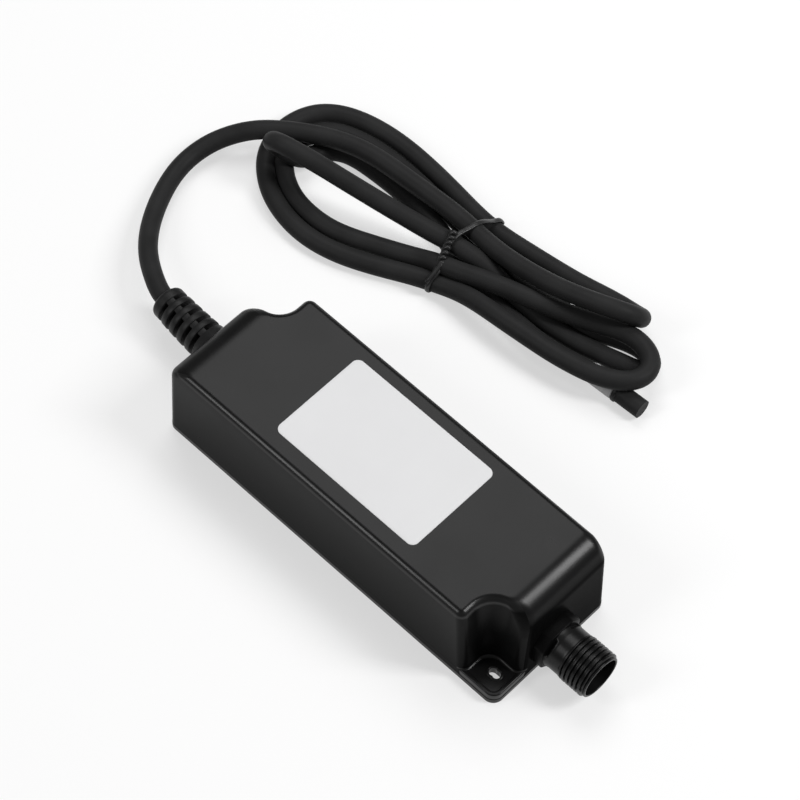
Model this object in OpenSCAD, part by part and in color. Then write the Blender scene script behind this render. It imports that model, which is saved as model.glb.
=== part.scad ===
// Sealed LED driver: a potted lamp supply with a mains lead and a threaded output socket.
// Millimetres. The origin is the middle of the base, +X runs towards the output socket, +Z is up.

/* [Case] */
// Length of the case at its base
case_l = 152.4; // [149:0.2:170]
// Width of the case at its base
case_w = 54; // [53:0.5:60]
// Height of the case with its cover
case_h = 38.7; // [37.5:0.1:45]
// How far each long side leans in over the whole height
side_lean = 0.7; // [0.3:0.05:1.5]
// How far each end leans in over the whole height
end_lean = 1.2; // [0.3:0.05:1.5]
// Thickness of the case's walls and top
wall = 2.2; // [1.8:0.1:2.6]
// Radius of the two plain upright corners
corner_r = 3.4; // [3.2:0.1:6]
// Radius of the top edge along the sides and the scallops
side_edge_r = 2.7; // [2.3:0.1:3]
// Width of the rounding along the ends, measured on the top
end_edge_w = 10; // [6:0.5:10.5]
// Depth of the rounding at the strain relief's end, measured down the end wall
end_edge_h = 7; // [5:0.5:10]
// Depth of the rounding at the socket's end
socket_edge_h = 10; // [7:0.5:10.5]

/* [Fixing ears] */
// Length along the case of the scallop next to the socket, at the base
socket_scallop_l = 13.8; // [13:0.1:15]
// Length along the case of the scallop next to the strain relief, at the base
relief_scallop_l = 12.2; // [12:0.1:15]
// Width of each scallop across the case, at the base
scallop_w = 12.1; // [11:0.1:13]
// How far the scallop's walls lean in over the whole height
scallop_lean = 3; // [1:0.1:3.2]
// Radius of the scallop's inner corner at the base
scallop_r = 5.2; // [4:0.1:6]
// Radius of that corner at the top
scallop_top_r = 8.5; // [6:0.1:9]
// Radius where the scallop runs out into the long side
side_lip_r = 3; // [2.9:0.1:3.5]
// Radius where the scallop runs out into the end, in the lower part
end_lip_r = 3.4; // [2.9:0.1:4]
// Radius of that lip where it meets the rounded top
end_lip_top_r = 7.2; // [4:0.1:7.5]
// Height where that lip begins to widen
lip_widens_z = 26; // [15:1:30]
// Thickness of the ear that belongs to the case
ear_t = 3; // [2:0.1:4]
// Radius of the ear's outer corner
ear_r = 4; // [2.5:0.1:5]
// Bevel round the ear's upper edge
ear_bevel = 0.6; // [0.3:0.1:1]
// Width of the fixing slot
slot_w = 3.8; // [3.2:0.1:4.5]
// Length of the fixing slot
slot_l = 5.8; // [5:0.1:7]
// Distance from the slot's centre to the end of the case
slot_from_end = 6.8; // [6:0.1:7.4]
// Distance from the slot's centre to the side of the case
slot_from_side = 7.5; // [6:0.1:7.8]

/* [Base cover] */
// Thickness of the cover
cover_t = 2; // [1.5:0.1:2.5]
// Height of the rim that stands up inside the case
rim_h = 1.5; // [1:0.1:2]
// Thickness of that rim
rim_t = 1.4; // [1:0.1:2]

/* [Label] */
// Length of the label
label_l = 62.8; // [50:0.2:75]
// Width of the label
label_w = 38.9; // [30:0.1:42]
// Distance of the label's middle from the case's middle, towards the socket
label_x = -0.8; // [-4:0.1:4]
// Distance of the label's middle from the case's middle, across the case
label_y = 0.6; // [-2:0.1:2]
// Radius of the label's corners
label_r = 2.6; // [1:0.1:5]
// Thickness of the label
label_t = 0.2; // [0.1:0.05:0.4]

/* [Output socket] */
// Height of the socket and the strain relief above the base
axis_z = 13; // [12.3:0.1:15]
// Width of the square flange
flange_w = 18; // [17:0.1:19]
// Thickness of the flange
flange_t = 4.4; // [3:0.1:5]
// Corner cut of the flange
flange_cut = 4; // [3:0.1:5]
// Diameter of the notched collar in front of the flange
collar_d = 17.6; // [17.2:0.1:17.9]
// Length of that collar
collar_l = 1.4; // [1:0.1:2]
// Width of the collar's notches
notch_w = 3; // [2:0.1:4]
// Diameter of the plain shank
shank_d = 16.8; // [15.8:0.1:17]
// Outside diameter of the thread
thread_d = 17.6; // [17:0.1:18]
// Length of the thread
thread_l = 11.3; // [8:0.1:13]
// Length of the socket outside the case
socket_reach = 22; // [20.5:0.1:25]
// Diameter of the open bore
bore_d = 14.4; // [13.5:0.1:15]
// Depth of the open bore
bore_l = 10.4; // [7:0.1:12]
// Diameter of the threaded stub that passes through the wall
stub_d = 13; // [12:0.1:13.6]
// Length of that stub behind the flange
stub_l = 7.6; // [6.5:0.1:8.5]
// Across-flats size of the lock nut
nut_af = 17; // [15.5:0.1:18]
// Thickness of the lock nut
nut_t = 3; // [2:0.1:3.5]
// Diameter of the insulating insert
insert_d = 10; // [9:0.1:10.6]
// Diameter of each contact
contact_d = 2.4; // [1.8:0.1:3]
// Distance between the two contacts
contact_pitch = 5; // [4:0.1:6]
// How far the contacts stand out behind the insert
contact_tail = 3; // [2:0.1:4]
// Width of the seal ring's section
seal_w = 1.2; // [1:0.1:1.4]
// Height of the seal ring's section when it is squeezed
seal_t = 1; // [0.8:0.1:1.2]
// Clearance round parts that pass through a wall
fit_gap = 0.1; // [0.05:0.05:0.2]

/* [Strain relief] */
// Length of the relief outside the case
relief_l = 31.2; // [31:0.2:36]
// Diameter of the ring next to the case
relief_root_d = 14.6; // [13.5:0.1:16]
// Diameter of the collar at the tip
relief_tip_d = 12.3; // [11:0.1:13.5]
// Diameter of the core between the rings
relief_core_d = 9.4; // [8.6:0.1:10]
// Length of the collar at the tip
tip_collar_l = 5.4; // [4:0.1:6]
// Number of rings between the case and the tip collar
ring_count = 6; // [3:1:6]
// Distance from each ring to the next
ring_pitch = 4.15; // [3.6:0.05:4.15]
// Width of each ring
ring_w = 2.3; // [1.8:0.1:2.6]
// Width of the two ribs that join the rings, above and below
rib_w = 4.2; // [3:0.1:6]
// How far the ribs lie below the rings
rib_drop = 0.5; // [0.3:0.1:1]
// Sideways bend of the whole relief in degrees
relief_bend = 7; // [0.5:0.5:10]
// Diameter of the neck through the wall
neck_d = 11.6; // [11:0.1:12.6]
// Diameter of the flange inside the case
relief_flange_d = 16; // [15:0.1:17]
// Thickness of the flange inside the case
relief_flange_t = 2; // [1.5:0.1:2.5]

/* [Mains lead] */
// Diameter of the cable
cable_d = 7; // [6.6:0.1:7.4]
// Length of cable inside the case, behind the relief's flange
inner_l = 5; // [3:0.1:6]
// Outside diameter of each insulated wire
wire_d = 2.2; // [1.8:0.1:2.6]
// Diameter of the bare end of each wire
core_wire_d = 1.3; // [0.8:0.1:1.5]

/* [Circuit board] */
// Length of the board
board_l = 116; // [112:0.5:118]
// Width of the board
board_w = 44; // [43:0.5:45]
// Thickness of the board
board_t = 1.6; // [1:0.1:2]
// Height of the board's underside above the base
board_z = 6; // [5:0.1:6.5]
// Level of the resin's surface above the base
resin_z = 4.2; // [4.1:0.1:4.6]

/* [Transformer] */
// Length of the ferrite core across the board
core_l = 25; // [22:0.1:27]
// Width of the core along the board
core_w = 7; // [6:0.1:8]
// Height of the core
core_h = 20; // [18:0.1:22]
// Thickness of the core's outer legs and its bars
core_leg = 3.4; // [3:0.1:4]
// Width of the core's middle leg
core_mid = 6.5; // [5.5:0.1:7]
// Thickness of the bobbin's sleeve and flanges
bobbin_t = 0.9; // [0.7:0.1:1.2]
// Gap between the core and the bobbin
bobbin_gap = 0.1; // [0.05:0.05:0.2]
// Thickness of the wound coil
coil_t = 3.4; // [2.5:0.1:3.6]

/* [Hidden] */

$fn = 64;
// Steps in each rounded upright corner, and in the rounded top edge
arc_steps = 6;
edge_steps = 6;
// A corner never gets sharper than this
least_r = 0.6;
// Height over which the lip of a scallop widens
widening_h = 8;
// Extra length of a cutter past a face
past = 1;

half_l = case_l / 2;
half_w = case_w / 2;
ear_top = cover_t + ear_t;
// The middle of the fixing slot next to the socket
slot_x = half_l - slot_from_end;
slot_y = slot_from_side - half_w;

function share(z) = z / case_h;
// The flat seats cut into the two end walls, and the pads behind them
seat_top = axis_z + flange_w / 2;
seat_x = half_l - end_lean * share(seat_top) - 0.05;
pad_x = half_l - wall - end_lean * share(seat_top) - 0.4;
pad_d = 20;
seat_gap = 0.3;

dark = [0.16, 0.16, 0.165];
black = [0.11, 0.11, 0.115];
silver = [0.86, 0.86, 0.86];
copper = [0.72, 0.42, 0.22];
tin = [0.72, 0.72, 0.74];
ferrite = [0.24, 0.23, 0.22];

// Outlines

function unit(a) = [cos(a), sin(a)];
function arc(x, y, r, from, to) = [
    for (i = [0 : arc_steps]) [x, y] + r * unit(from + (to - from) * i / arc_steps)
];

// How far a rounded top edge of width w and depth h has drawn in at height z
function edge_inset(z, top, w, h) = z > top - h ? w - w * sqrt(max(0, 1 - pow((z - top + h) / h, 2))) : 0;

// One level of the case: its height, its insets from the sides, the socket's end and the scallops' walls,
// the radii of its plain corners, the scallops' side lips, their inner corners and their end lips, and its
// inset from the strain relief's end
function case_level(z, top, skin) =
    let (
        e = edge_inset(z, top, side_edge_r - skin / 3, side_edge_r - skin / 3),
        ends = [for (h = [socket_edge_h, end_edge_h]) edge_inset(z, top, end_edge_w - skin, h - skin)],
        widen = min(max((z - lip_widens_z) / widening_h, 0), 1),
        drawn = skin + e
    )
    [
        z,
        drawn + side_lean * share(z),
        skin + ends[0] + end_lean * share(z),
        drawn + scallop_lean * share(z),
        max(corner_r - drawn, least_r),
        max(side_lip_r - drawn, least_r),
        scallop_r + (scallop_top_r - scallop_r) * share(z) + drawn,
        max(end_lip_r + (end_lip_top_r - end_lip_r) * widen - drawn, least_r),
        skin + ends[1] + end_lean * share(z)
    ];
function case_levels(bottom, top, skin) = [
    case_level(bottom, top, skin),
    case_level(lip_widens_z, top, skin),
    for (i = [0 : edge_steps])
        case_level(top - (max(socket_edge_h, end_edge_h) - skin) * (1 - sin(90 * i / edge_steps)), top, skin)
];

// Half of one level: a scallop and the plain corner beyond it, for the end on +X
function half_outline(l, scallop_l, end_inset) =
    let (
        x0 = half_l - scallop_l - l[3],
        x1 = half_l - end_inset,
        y0 = l[1] - half_w,
        y1 = scallop_w - half_w + l[3],
        side_r = l[5],
        inner_r = l[6],
        end_r = l[7],
        both_r = inner_r + end_r,
        turn = both_r > x1 - x0 ? acos(1 - (x1 - x0) / both_r) : 90
    )
    concat(
        arc(x0 - side_r, y0 + side_r, side_r, 270, 360),
        arc(x0 + inner_r, y1 - inner_r, inner_r, 180, 180 - turn),
        arc(x1 - end_r, y1 - inner_r + both_r * sin(turn), end_r, 360 - turn, 360),
        arc(x1 - l[4], -y0 - l[4], l[4], 0, 90)
    );
function case_outline(l) = concat(
    half_outline(l, socket_scallop_l, l[2]),
    [for (p = half_outline(l, relief_scallop_l, l[8])) -p]
);

function middle(points) = [for (p = points) 1] * points / len(points);

// A solid through outlines stacked at the given heights; its two ends are fans round the middle
module loft(outlines, heights) {
    n = len(outlines[0]);
    last = len(heights) - 1;
    low = middle(outlines[0]);
    high = middle(outlines[last]);
    points = concat(
        [for (j = [0 : last]) for (p = outlines[j]) [p[0], p[1], heights[j]]],
        [[low[0], low[1], heights[0]], [high[0], high[1], heights[last]]]
    );
    walls = [
        for (j = [0 : last - 1]) for (i = [0 : n - 1])
            let (a = j * n + i, b = j * n + (i + 1) % n)
            each [[a, a + n, b + n], [a, b + n, b]]
    ];
    ends = [
        for (i = [0 : n - 1])
            let (k = (i + 1) % n)
            each [[i, k, (last + 1) * n], [last * n + k, last * n + i, (last + 1) * n + 1]]
    ];
    polyhedron(points, concat(walls, ends), convexity = 6);
}

module case_loft(bottom, top, skin) {
    levels = case_levels(bottom, top, skin);
    loft([for (l = levels) case_outline(l)], [for (l = levels) l[0]]);
}

// The rectangle of the base with its four rounded corners: two at the ears and two plain
module base_outline() {
    difference() {
        square([case_l, case_w], center = true);
        for (turn = [0, 180]) rotate(turn) {
            translate([half_l - ear_r, -half_w - past]) square([ear_r + past, ear_r + past]);
            translate([half_l - corner_r, half_w - corner_r]) square(corner_r + past);
        }
    }
    for (turn = [0, 180]) rotate(turn) {
        translate([half_l - ear_r, ear_r - half_w]) circle(r = ear_r);
        translate([half_l - corner_r, half_w - corner_r]) circle(r = corner_r);
    }
}

// Turns a piece drawn along +Z so that it points along +X, seated at the socket's end of the case
module at_socket() {
    translate([seat_x, 0, axis_z]) rotate([90, 0, 90]) children();
}

// The same at the strain relief's end, pointing along -X
module at_relief() {
    translate([-seat_x, 0, axis_z]) rotate([90, 0, -90]) children();
}

module ring(outer_d, inner_d, h) {
    difference() {
        cylinder(d = outer_d, h = h);
        translate([0, 0, -past]) cylinder(d = inner_d, h = h + 2 * past);
    }
}

// Case

module cavity() {
    case_loft(cover_t - past, case_h - wall, wall);
}

// One level of an ear, drawn in by the given amount
function ear_outline(scallop_l, inset) =
    let (
        x0 = half_l - scallop_l - side_lip_r,
        x1 = half_l - inset,
        y0 = inset - half_w,
        y1 = scallop_w - half_w + end_lip_r,
        r = ear_r - inset
    )
    concat(arc(x1 - r, y0 + r, r, 270, 360), [[x1, y1], [x0, y1], [x0, y0]]);

module ear(scallop_l) {
    inset = end_lean * share(ear_top);
    loft(
        [for (i = [inset, inset, inset + ear_bevel]) ear_outline(scallop_l, i)],
        [cover_t, ear_top - ear_bevel, ear_top]
    );
}

module fixing_slot(h) {
    reach = (slot_l - slot_w) / 2;
    translate([slot_x, slot_y, 0]) {
        for (side = [-1, 1]) translate([side * reach, 0, 0]) cylinder(d = slot_w, h = h);
        translate([-reach, -slot_w / 2, 0]) cube([2 * reach, slot_w, h]);
    }
}

// Repeats a piece of one end at the other, turned round by 180 degrees
module both_ends() {
    children();
    rotate([0, 0, 180]) children();
}

module wall_pad() {
    translate([pad_x, 0, axis_z]) rotate([90, 0, 90]) cylinder(d = pad_d, h = seat_x - pad_x - 0.6);
}

module flange_outline(w) {
    h = w / 2;
    cut = h - flange_cut;
    polygon([[cut, -h], [h, -cut], [h, cut], [cut, h], [-cut, h], [-h, cut], [-h, -cut], [-cut, -h]]);
}

module housing_shell() {
    through = wall + end_lean + 2 * past;
    color(dark) difference() {
        union() {
            difference() {
                union() {
                    case_loft(cover_t, case_h, 0);
                    ear(socket_scallop_l);
                    rotate([0, 0, 180]) ear(relief_scallop_l);
                }
                cavity();
            }
            both_ends() wall_pad();
        }
        both_ends() translate([0, 0, cover_t - past]) fixing_slot(ear_t + 2 * past);
        at_socket() {
            linear_extrude(past + end_lean) flange_outline(flange_w + 2 * seat_gap);
            translate([0, 0, -through]) cylinder(d = stub_d + 2 * fit_gap, h = through + past);
        }
        at_relief() {
            cylinder(d = relief_root_d + 2 * seat_gap, h = past + end_lean);
            translate([0, 0, -through]) cylinder(d = neck_d + 2 * fit_gap, h = through + past);
        }
    }
}

// The outline of the rim on the cover, drawn in by the given amount
module rim_outline(skin) {
    l = case_level(cover_t + rim_h, case_h, skin);
    polygon(case_outline(l));
}

module base_cover() {
    color(dark) {
        difference() {
            linear_extrude(cover_t) base_outline();
            both_ends() translate([0, 0, -past]) fixing_slot(cover_t + 2 * past);
        }
        translate([0, 0, cover_t - 0.5]) linear_extrude(rim_h + 0.5) difference() {
            rim_outline(wall + fit_gap);
            rim_outline(wall + fit_gap + rim_t);
        }
    }
}

module rating_label() {
    x = label_l / 2 - label_r;
    y = label_w / 2 - label_r;
    color(silver) translate([label_x, label_y, case_h]) linear_extrude(label_t) {
        for (sx = [-1, 1]) for (sy = [-1, 1]) translate([sx * x, sy * y]) circle(r = label_r);
        square([label_l, 2 * y], center = true);
        square([2 * x, label_w], center = true);
    }
}

// Output socket

seal_mid_d = (stub_d + flange_w) / 2;
pad_t = seat_x - pad_x;
shoulder_z = socket_reach - bore_l;
mouth_bevel = 0.4;

module output_socket() {
    color(black) at_socket() difference() {
        union() {
            linear_extrude(flange_t) flange_outline(flange_w);
            cylinder(d = collar_d, h = flange_t + collar_l);
            cylinder(d = shank_d, h = socket_reach - thread_l);
            translate([0, 0, socket_reach - thread_l]) cylinder(d = thread_d, h = thread_l - mouth_bevel);
            translate([0, 0, socket_reach - mouth_bevel])
                cylinder(d1 = thread_d, d2 = thread_d - 2 * mouth_bevel, h = mouth_bevel);
            translate([0, 0, -stub_l]) cylinder(d = stub_d, h = stub_l);
        }
        translate([0, 0, shoulder_z]) cylinder(d = bore_d, h = bore_l + past);
        translate([0, 0, -stub_l - past]) cylinder(d = insert_d, h = stub_l + shoulder_z + 2 * past);
        translate([0, 0, -past]) ring(seal_mid_d + seal_w, seal_mid_d - seal_w, seal_t + past);
        for (a = [45, 225]) rotate(a)
            translate([shank_d / 2, -notch_w / 2, flange_t]) cube([collar_d, notch_w, collar_l + past]);
    }
}

module socket_seal() {
    color([0.5, 0.16, 0.12]) at_socket() ring(seal_mid_d + seal_w, seal_mid_d - seal_w, seal_t);
}

module lock_nut() {
    color(black) at_socket() translate([0, 0, -pad_t - nut_t]) difference() {
        cylinder(d = nut_af / cos(30), h = nut_t, $fn = 6);
        translate([0, 0, -past]) cylinder(d = stub_d + fit_gap, h = nut_t + 2 * past);
    }
}

module contact_places() {
    for (side = [-1, 1]) translate([side * contact_pitch / 2, 0, 0]) children();
}

module socket_insert() {
    color([0.2, 0.2, 0.21]) at_socket() difference() {
        translate([0, 0, -stub_l]) cylinder(d = insert_d, h = stub_l + shoulder_z);
        contact_places() translate([0, 0, -stub_l - past]) cylinder(d = contact_d, h = stub_l + socket_reach);
    }
}

module socket_contacts() {
    color([0.83, 0.68, 0.32]) at_socket() contact_places() difference() {
        translate([0, 0, -stub_l - contact_tail]) cylinder(d = contact_d, h = stub_l + contact_tail + shoulder_z);
        translate([0, 0, shoulder_z - 6]) cylinder(d = contact_d - 1, h = 6 + past);
    }
}

// Strain relief

bend_r = relief_l * 180 / (PI * relief_bend);
// The rings that have room between the case and the tip collar
least_root_l = 0.3;
rings = min(ring_count, floor((relief_l - tip_collar_l - least_root_l) / ring_pitch));
root_l = relief_l - tip_collar_l - rings * ring_pitch;

// Places a piece at a distance along the bent axis of the relief
module along_relief(s) {
    a = relief_bend * s / relief_l;
    translate([-bend_r * (1 - cos(a)), 0, bend_r * sin(a)]) rotate([0, -a, 0]) children();
}

function relief_d(s) = relief_root_d + (relief_tip_d - relief_root_d) * s / relief_l;

// A disc with a fully rounded rim, centred on its place
module rounded_disc(d, w) {
    rotate_extrude() {
        translate([0, -w / 2]) square([(d - w) / 2, w]);
        intersection() {
            translate([(d - w) / 2, 0]) circle(d = w);
            translate([0, -w / 2]) square([d, w]);
        }
    }
}

// The neck through the wall and the flange behind it
module relief_inside() {
    translate([0, 0, -pad_t]) cylinder(d = neck_d, h = pad_t + 0.1);
    translate([0, 0, -pad_t - relief_flange_t]) cylinder(d = relief_flange_d, h = relief_flange_t);
}

// A rod along the bent axis, up to a distance of l
module bent_rod(d, l) {
    translate([-bend_r, 0, 0]) rotate([90, 0, 0]) rotate_extrude(angle = relief_bend * l / relief_l)
        translate([bend_r, 0]) circle(d = d);
}

module strain_relief() {
    color(black) at_relief() difference() {
        union() {
            bent_rod(relief_core_d, relief_l - 1);
            for (i = [0 : rings - 1]) {
                s = root_l + i * ring_pitch;
                d = relief_d(s) - 2 * rib_drop;
                along_relief(s) {
                    translate([0, 0, ring_w / 2]) rounded_disc(relief_d(s), ring_w);
                    translate([-rib_w / 2, -d / 2, 0.2]) cube([rib_w, d, ring_pitch]);
                }
            }
            along_relief(relief_l - tip_collar_l) {
                cylinder(d = relief_tip_d, h = tip_collar_l - 1);
                cylinder(d = relief_tip_d - 2, h = tip_collar_l);
                translate([0, 0, tip_collar_l - 1]) rotate_extrude() intersection() {
                    translate([relief_tip_d / 2 - 1, 0]) circle(r = 1);
                    translate([relief_tip_d / 2 - 1, 0]) square(2);
                }
            }
            cylinder(d = relief_root_d, h = root_l + 0.1);
            relief_inside();
        }
        bent_rod(cable_d, relief_l + past);
        translate([0, 0, -pad_t - relief_flange_t - past])
            cylinder(d = cable_d, h = pad_t + relief_flange_t + past);
    }
}

// The cable inside the case, behind the relief
module cord_inside() {
    translate([0, 0, -pad_t - relief_flange_t - inner_l]) cylinder(d = cable_d, h = inner_l);
}

module cord_inner() {
    color(black) at_relief() {
        bent_rod(cable_d, relief_l);
        translate([0, 0, -pad_t - relief_flange_t]) cylinder(d = cable_d, h = pad_t + relief_flange_t);
        cord_inside();
    }
}

// Mains lead

// Route of the free stretch, from the tip of the relief to the hank
lead_route = [
    [-106.6, 1.9, 13], [-109.6, 2.3, 13], [-114, 4.1, 12.6], [-121, 8, 11.2], [-128, 13, 9.5],
    [-135.5, 21, 7], [-142, 31, 5], [-147, 42, 4], [-149, 52, 4], [-147.5, 62, 5.5], [-143, 69.5, 8],
    [-138, 75, 10], [-133, 79.5, 10.7]
];
// The cut end: where it leaves the hank, and its cut face
tail_from = [10, 87.2, 3.9];
tail_angle = 5.5;
tail_l = 26.5;
band_l = 13;
band_t = 0.25;
end_ring_l = 1.8;
end_ring_t = 0.4;
// The hank: heights of its two loops, and the bundle under the tie
left_loop_h = 29;
right_loop_h = 24;
waist_x = [-70, -25];
waist_y = [72.5, 112];
waist_top = 15.5;
tie_x = -50;
tie_t = 1.4;
tube_sides = 10;

function along(v) = v / norm(v);
function tangent(route, i) = along(route[min(i + 1, len(route) - 1)] - route[max(i - 1, 0)]);

// A round tube swept along a route
module tube(route, d) {
    n = tube_sides;
    last = len(route) - 1;
    points = [
        for (i = [0 : last])
            let (t = tangent(route, i), side = along(cross(t, [0, 0, 1])), up = cross(side, t))
            for (k = [0 : n - 1]) route[i] + d / 2 * (cos(360 * k / n) * side + sin(360 * k / n) * up)
    ];
    walls = [
        for (i = [0 : last - 1]) for (k = [0 : n - 1])
            let (a = i * n + k, b = i * n + (k + 1) % n)
            each [[a, b, b + n], [a, b + n, a + n]]
    ];
    ends = [[for (k = [n - 1 : -1 : 0]) k], [for (k = [0 : n - 1]) last * n + k]];
    polyhedron(points, concat(walls, ends), convexity = 6);
}

module cord_lead() {
    color(black) tube(lead_route, cable_d);
}

module at_tail() {
    translate(tail_from) rotate([90, 0, 90 + tail_angle]) children();
}

module hank_loops() {
    linear_extrude(left_loop_h) hull() {
        translate([-118, 88]) circle(r = 21, $fn = 32);
        translate([-99, 85]) circle(r = 29.7, $fn = 32);
        translate([-77, 90.5]) circle(r = 22.5, $fn = 32);
    }
    linear_extrude(right_loop_h) hull() {
        translate([-21, 95]) circle(r = 18.5, $fn = 32);
        translate([6, 107.5]) circle(r = 12.7, $fn = 32);
        translate([19.5, 95.5]) circle(r = 15, $fn = 32);
    }
}

module cord_hank() {
    color(black) difference() {
        union() {
            hank_loops();
            translate([waist_x[0], waist_y[0], tie_t])
                cube([waist_x[1] - waist_x[0], waist_y[1] - waist_y[0], waist_top - tie_t]);
        }
        tube(lead_route, cable_d + 2 * seat_gap);
        at_tail() cylinder(d = cable_d + 2 * (end_ring_t + seat_gap), h = tail_l + past);
        translate([tail_from[0], tail_from[1] - 12, -past]) cube([tail_l, 18, tail_from[2] + past]);
    }
}

module cord_tail() {
    color(black) at_tail() cylinder(d = cable_d, h = tail_l);
}

module cord_end_band() {
    color([0.7, 0.7, 0.7]) at_tail() ring(cable_d + 2 * band_t, cable_d, band_l);
}

module cord_end_ring() {
    color(black) at_tail() translate([0, 0, band_l]) ring(cable_d + 2 * end_ring_t, cable_d, end_ring_l);
}

module twist_tie() {
    w = waist_y[1] - waist_y[0];
    color(black) translate([tie_x, waist_y[0], 0]) rotate([90, 0, 90])
        linear_extrude(2 * tie_t, center = true) difference() {
            translate([-tie_t, 0]) square([w + 2 * tie_t, waist_top + tie_t]);
            translate([0, tie_t]) square([w, waist_top - tie_t]);
        }
}

// Circuit board and its parts

board_top = board_z + board_t;
board_end = board_l / 2;

// Places of the parts: distance from the board's input end, and from its middle line
varistor_at = [6, -3];
thermistor_at = [6, -14];
x_capacitor_at = [15, 12];
choke_at = [21, -10];
bulk_capacitor_at = [32, 11];
rectifier_at = [36, -12];
transistor_at = [51, 14];
chip_at = [52, -4];
transformer_at = [68, -6];
y_capacitor_at = [68, 16];
optocoupler_at = [69, 9];
diode_at = [84, 14];
output_capacitor_at = [94, -12];
// Distances from the board's ends to the pins of the wires
input_pins_in = 1.7;
output_pins_in = 8;
// How far the wires' insulation runs past those pins
wire_past_pin = 1.2;

// Sizes of the parts
fuse_d = 8.4;
fuse_h = 8;
fuse_gap = 0.5;
varistor_d = 10;
varistor_t = 4.2;
thermistor_d = 9;
thermistor_t = 4;
x_capacitor_t = 8;
x_capacitor_w = 18;
x_capacitor_h = 15;
choke_d = 20;
choke_hole_d = 10;
choke_h = 8;
choke_wire_t = 1.4;
rectifier_t = 4;
rectifier_w = 15;
rectifier_h = 11;
bulk_capacitor_d = 16;
bulk_capacitor_h = 25;
output_capacitor_d = 10;
output_capacitor_h = 20;
output_capacitor_pitch = 11.5;
can_bevel = 0.5;
y_capacitor_d = 8;
y_capacitor_t = 4;
chip_l = 9.6;
chip_w = 6.4;
chip_h = 3.4;
optocoupler_l = 6.4;
optocoupler_w = 4.6;
package_w = 10;
package_t = 4.4;
package_h = 9;
package_z = 1;
tab_t = 1.3;
tab_h = 6.5;
tab_hole_d = 3.6;
heatsink_h = 22;
heatsink_t = 2;
fin_l = 3;
fin_t = 1.6;
transistor_heatsink_l = 17;
diode_heatsink_l = 19;

module on_board(place) {
    translate([place[0] - board_end, place[1], board_top]) children();
}

// A box standing on its place, centred across it
module block(l, w, h) {
    translate([-l / 2, -w / 2, 0]) cube([l, w, h]);
}

// A disc standing on its edge, its faces towards +X and -X
module upright_disc(d, t) {
    translate([-t / 2, 0, d / 2]) rotate([0, 90, 0]) cylinder(d = d, h = t);
}

module circuit_board() {
    color([0.1, 0.36, 0.2]) translate([0, 0, board_z]) block(board_l, board_w, board_t);
}

// The fuse stands beside the inner wall of the scallop
module fuse() {
    wall_y = half_w - scallop_w - scallop_lean * share(board_top + fuse_h) - wall;
    color([0.75, 0.7, 0.6]) on_board([5, wall_y - fuse_gap - fuse_d / 2]) cylinder(d = fuse_d, h = fuse_h);
}

module varistor() {
    color([0.2, 0.35, 0.65]) on_board(varistor_at) upright_disc(varistor_d, varistor_t);
}

module thermistor() {
    color([0.15, 0.2, 0.16]) on_board(thermistor_at) upright_disc(thermistor_d, thermistor_t);
}

module x_capacitor() {
    color([0.8, 0.68, 0.2]) on_board(x_capacitor_at) block(x_capacitor_t, x_capacitor_w, x_capacitor_h);
}

module choke_core() {
    color(ferrite) on_board(choke_at) translate([0, 0, choke_wire_t]) ring(choke_d, choke_hole_d, choke_h);
}

// Two windings, one on each half of the ring core, as sleeves of wound wire
module choke_windings() {
    wound_h = choke_h + 2 * choke_wire_t;
    // The sector that each winding covers, from near the middle to past the rim
    near = [0.15 * choke_d, 0.1 * choke_d];
    far = [choke_d, choke_d / 2];
    color(copper) on_board(choke_at) intersection() {
        difference() {
            ring(choke_d + 2 * choke_wire_t, choke_hole_d - 2 * choke_wire_t, wound_h);
            translate([0, 0, choke_wire_t]) ring(choke_d, choke_hole_d, choke_h);
        }
        for (side = [0, 180]) rotate(side)
            linear_extrude(wound_h) polygon([near, far, [far[0], -far[1]], [near[0], -near[1]]]);
    }
}

module bridge_rectifier() {
    color(black) on_board(rectifier_at) block(rectifier_t, rectifier_w, rectifier_h);
}

// An upright can capacitor with a bevel round its top
module can(d, h) {
    cylinder(d = d, h = h - can_bevel);
    translate([0, 0, h - can_bevel]) cylinder(d1 = d, d2 = d - 2 * can_bevel, h = can_bevel);
}

module bulk_capacitor() {
    color([0.15, 0.2, 0.35]) on_board(bulk_capacitor_at) can(bulk_capacitor_d, bulk_capacitor_h);
}

// A transistor body with its metal tab, flat against a heatsink on its +Y side
module power_device() {
    tab_z = package_z + package_h;
    translate([-package_w / 2, -package_t, package_z]) cube([package_w, package_t, package_h]);
    difference() {
        translate([-package_w / 2, -tab_t, tab_z]) cube([package_w, tab_t, tab_h]);
        translate([0, past, tab_z + tab_h - tab_hole_d * 0.8]) rotate([90, 0, 0])
            cylinder(d = tab_hole_d, h = tab_t + 2 * past);
    }
}

// An upright aluminium plate with three fins
module heatsink(l) {
    translate([-l / 2, 0, 0]) cube([l, heatsink_t, heatsink_h]);
    for (i = [-1 : 1]) translate([i * (l / 2 - 1) - fin_t / 2, heatsink_t, 0]) cube([fin_t, fin_l, heatsink_h]);
}

module switching_transistor() {
    color(black) on_board(transistor_at) power_device();
}

module transistor_heatsink() {
    color(tin) on_board(transistor_at) heatsink(transistor_heatsink_l);
}

module output_diode() {
    color(black) on_board(diode_at) power_device();
}

module diode_heatsink() {
    color(tin) on_board(diode_at) heatsink(diode_heatsink_l);
}

// Transformer: an E core in two joined halves, its middle leg upright in the bobbin
coil_inner = core_mid + 2 * (bobbin_gap + bobbin_t);
window_h = core_h - 2 * core_leg;
bobbin_h = window_h - 2 * bobbin_gap;

module at_transformer() {
    on_board(transformer_at) children();
}

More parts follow.
